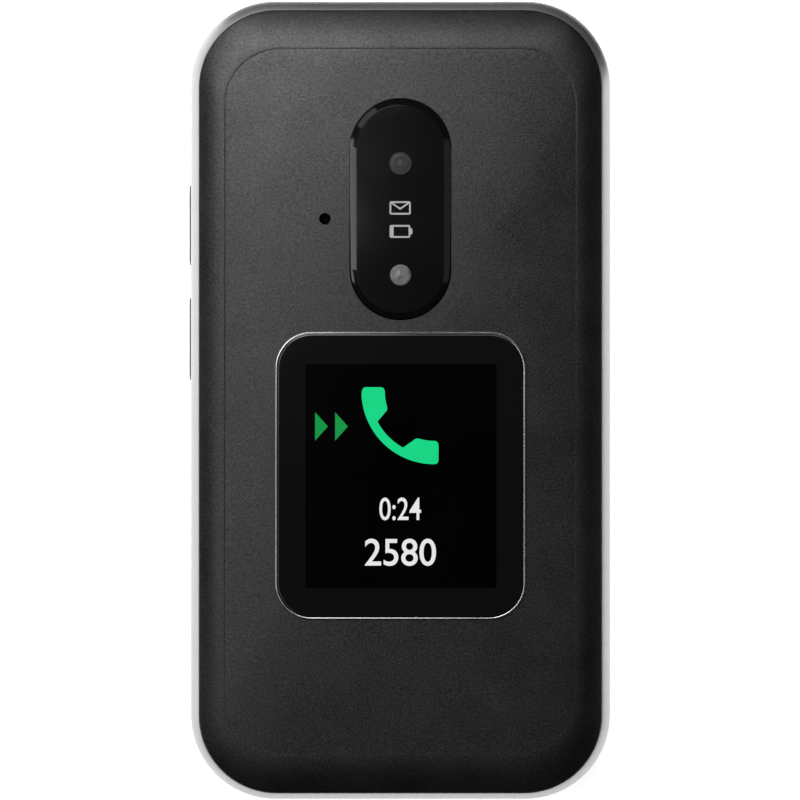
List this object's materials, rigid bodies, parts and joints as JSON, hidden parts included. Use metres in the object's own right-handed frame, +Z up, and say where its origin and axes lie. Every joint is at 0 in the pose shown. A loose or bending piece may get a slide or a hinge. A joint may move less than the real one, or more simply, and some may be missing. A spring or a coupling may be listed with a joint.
{
  "type": "flip phone",
  "caption": "Closed clamshell phone with a black lid cover in a silver frame, outer display, camera window, keypad under the lid, side volume keys and bottom sockets.",
  "frame": {"origin": "middle of the closed phone's box, on the surface that its back rests on", "axes": "X across the width with the volume keys at -X, +Y along the length towards the hinge, +Z up through the closed lid"},
  "size_m": [0.0556, 0.1054, 0.0193],
  "materials": {
    "cover_black": "fine-grained satin black plastic",
    "frame_silver": "satin silver painted plastic",
    "inner_black": "polished black plastic",
    "panel_black": "polished black plastic",
    "back_black": "fine-grained matte black plastic",
    "window_black": "glossy black-backed window",
    "lens_glass": "camera lens glass",
    "flash_clear": "clear ribbed lens over a yellow-white emitter",
    "rim_metal": "polished metal line",
    "module_grey": "sealed module",
    "board_green": "solder mask",
    "steel": "plain metal",
    "rubber_black": "soft rubber",
    "dome_film": "film with metal domes",
    "battery_grey": "wrapped cell, bare of print",
    "socket_black": "moulded socket",
    "contact_gold": "gold-plated contact",
    "flex_amber": "polyimide film",
    "side_key_black": "satin dark grey plastic",
    "button_grey": "satin dark grey plastic",
    "key_grey": "satin dark grey keycap with pale digits",
    "ring_silver": "satin silver painted plastic",
    "key_green": "satin dark grey keycap with a green mark",
    "key_red": "satin dark grey keycap with a red mark"
  },
  "bodies": {
    "base": {"base_frame": "frame_silver", "keypad_panel": "panel_black", "dome_sheet": "dome_film", "main_pcb": "board_green", "rear_chassis": "back_black", "battery": "battery_grey", "loudspeaker": "module_grey", "vibration_motor": "steel", "usb_port": "steel", "audio_jack": "socket_black", "charging_contacts": "contact_gold", "sim_holder": "steel", "base_screws": "steel", "hinge_cartridge": "steel", "hinge_flex": "flex_amber"},
    "lid": {"lid_outer_cover": "cover_black", "lid_frame": "frame_silver", "lid_inner_cover": "inner_black", "lid_flex": "flex_amber", "camera_window": "window_black", "camera_lens": "lens_glass", "camera_module": "module_grey", "flash_lens": "flash_clear", "outer_display_rim": "rim_metal", "outer_display_window": "window_black", "outer_display_module": "module_grey", "lid_pcb": "board_green", "main_display_window": "window_black", "main_display_module": "module_grey", "earpiece_speaker": "steel", "earpiece_grille": "steel", "lid_magnet": "steel", "lid_bumpers": "rubber_black", "lid_screws": "steel", "hinge_shaft": "steel", "hinge_bush": "steel"},
    "battery_cover": {"battery_cover": "back_black"},
    "key_0": {"key_0": "key_grey"},
    "key_1": {"key_1": "key_grey"},
    "key_2": {"key_2": "key_grey"},
    "key_3": {"key_3": "key_grey"},
    "key_4": {"key_4": "key_grey"},
    "key_5": {"key_5": "key_grey"},
    "key_6": {"key_6": "key_grey"},
    "key_7": {"key_7": "key_grey"},
    "key_8": {"key_8": "key_grey"},
    "key_9": {"key_9": "key_grey"},
    "key_star": {"key_star": "key_grey"},
    "key_hash": {"key_hash": "key_grey"},
    "dpad_ring": {"dpad_ring": "ring_silver"},
    "ok_key": {"ok_key": "key_grey"},
    "softkey_left": {"softkey_left": "key_grey"},
    "softkey_right": {"softkey_right": "key_grey"},
    "call_key": {"call_key": "key_green"},
    "end_key": {"end_key": "key_red"},
    "message_key": {"message_key": "key_grey"},
    "camera_key": {"camera_key": "key_grey"},
    "volume_up": {"volume_up": "side_key_black"},
    "volume_down": {"volume_down": "side_key_black"},
    "assistance_button": {"assistance_button": "button_grey"}
  },
  "joints": [
    {"name": "lid_hinge", "type": "hinge", "parent": "base", "child": "lid", "pos_m": [0, 0.04535, 0.0108], "axis": [-1, 0, 0], "range_deg": [0, 160]},
    {"name": "battery_cover_slide", "type": "slide", "parent": "base", "child": "battery_cover", "axis": [0, -1, 0], "range_m": [0, 0.075]},
    {"name": "key_0_press", "type": "slide", "parent": "base", "child": "key_0", "axis": [0, 0, -1], "range_m": [0, 0.0003], "stiffness_N_per_m": 20, "springref_m": -0.002},
    {"name": "key_1_press", "type": "slide", "parent": "base", "child": "key_1", "axis": [0, 0, -1], "range_m": [0, 0.0003], "stiffness_N_per_m": 20, "springref_m": -0.002},
    {"name": "key_2_press", "type": "slide", "parent": "base", "child": "key_2", "axis": [0, 0, -1], "range_m": [0, 0.0003], "stiffness_N_per_m": 20, "springref_m": -0.002},
    {"name": "key_3_press", "type": "slide", "parent": "base", "child": "key_3", "axis": [0, 0, -1], "range_m": [0, 0.0003], "stiffness_N_per_m": 20, "springref_m": -0.002},
    {"name": "key_4_press", "type": "slide", "parent": "base", "child": "key_4", "axis": [0, 0, -1], "range_m": [0, 0.0003], "stiffness_N_per_m": 20, "springref_m": -0.002},
    {"name": "key_5_press", "type": "slide", "parent": "base", "child": "key_5", "axis": [0, 0, -1], "range_m": [0, 0.0003], "stiffness_N_per_m": 20, "springref_m": -0.002},
    {"name": "key_6_press", "type": "slide", "parent": "base", "child": "key_6", "axis": [0, 0, -1], "range_m": [0, 0.0003], "stiffness_N_per_m": 20, "springref_m": -0.002},
    {"name": "key_7_press", "type": "slide", "parent": "base", "child": "key_7", "axis": [0, 0, -1], "range_m": [0, 0.0003], "stiffness_N_per_m": 20, "springref_m": -0.002},
    {"name": "key_8_press", "type": "slide", "parent": "base", "child": "key_8", "axis": [0, 0, -1], "range_m": [0, 0.0003], "stiffness_N_per_m": 20, "springref_m": -0.002},
    {"name": "key_9_press", "type": "slide", "parent": "base", "child": "key_9", "axis": [0, 0, -1], "range_m": [0, 0.0003], "stiffness_N_per_m": 20, "springref_m": -0.002},
    {"name": "key_star_press", "type": "slide", "parent": "base", "child": "key_star", "axis": [0, 0, -1], "range_m": [0, 0.0003], "stiffness_N_per_m": 20, "springref_m": -0.002},
    {"name": "key_hash_press", "type": "slide", "parent": "base", "child": "key_hash", "axis": [0, 0, -1], "range_m": [0, 0.0003], "stiffness_N_per_m": 20, "springref_m": -0.002},
    {"name": "dpad_ring_press", "type": "slide", "parent": "base", "child": "dpad_ring", "axis": [0, 0, -1], "range_m": [0, 0.0003], "stiffness_N_per_m": 20, "springref_m": -0.002},
    {"name": "ok_key_press", "type": "slide", "parent": "base", "child": "ok_key", "axis": [0, 0, -1], "range_m": [0, 0.0003], "stiffness_N_per_m": 20, "springref_m": -0.002},
    {"name": "softkey_left_press", "type": "slide", "parent": "base", "child": "softkey_left", "axis": [0, 0, -1], "range_m": [0, 0.0003], "stiffness_N_per_m": 20, "springref_m": -0.002},
    {"name": "softkey_right_press", "type": "slide", "parent": "base", "child": "softkey_right", "axis": [0, 0, -1], "range_m": [0, 0.0003], "stiffness_N_per_m": 20, "springref_m": -0.002},
    {"name": "call_key_press", "type": "slide", "parent": "base", "child": "call_key", "axis": [0, 0, -1], "range_m": [0, 0.0003], "stiffness_N_per_m": 20, "springref_m": -0.002},
    {"name": "end_key_press", "type": "slide", "parent": "base", "child": "end_key", "axis": [0, 0, -1], "range_m": [0, 0.0003], "stiffness_N_per_m": 20, "springref_m": -0.002},
    {"name": "message_key_press", "type": "slide", "parent": "base", "child": "message_key", "axis": [0, 0, -1], "range_m": [0, 0.0003], "stiffness_N_per_m": 20, "springref_m": -0.002},
    {"name": "camera_key_press", "type": "slide", "parent": "base", "child": "camera_key", "axis": [0, 0, -1], "range_m": [0, 0.0003], "stiffness_N_per_m": 20, "springref_m": -0.002},
    {"name": "volume_up_press", "type": "slide", "parent": "base", "child": "volume_up", "axis": [1, 0, 0], "range_m": [0, 0.0003], "stiffness_N_per_m": 20, "springref_m": -0.002},
    {"name": "volume_down_press", "type": "slide", "parent": "base", "child": "volume_down", "axis": [1, 0, 0], "range_m": [0, 0.0003], "stiffness_N_per_m": 20, "springref_m": -0.002},
    {"name": "assistance_button_press", "type": "slide", "parent": "base", "child": "assistance_button", "axis": [0, 0, 1], "range_m": [0, 0.0003], "stiffness_N_per_m": 20, "springref_m": -0.002}
  ]
}
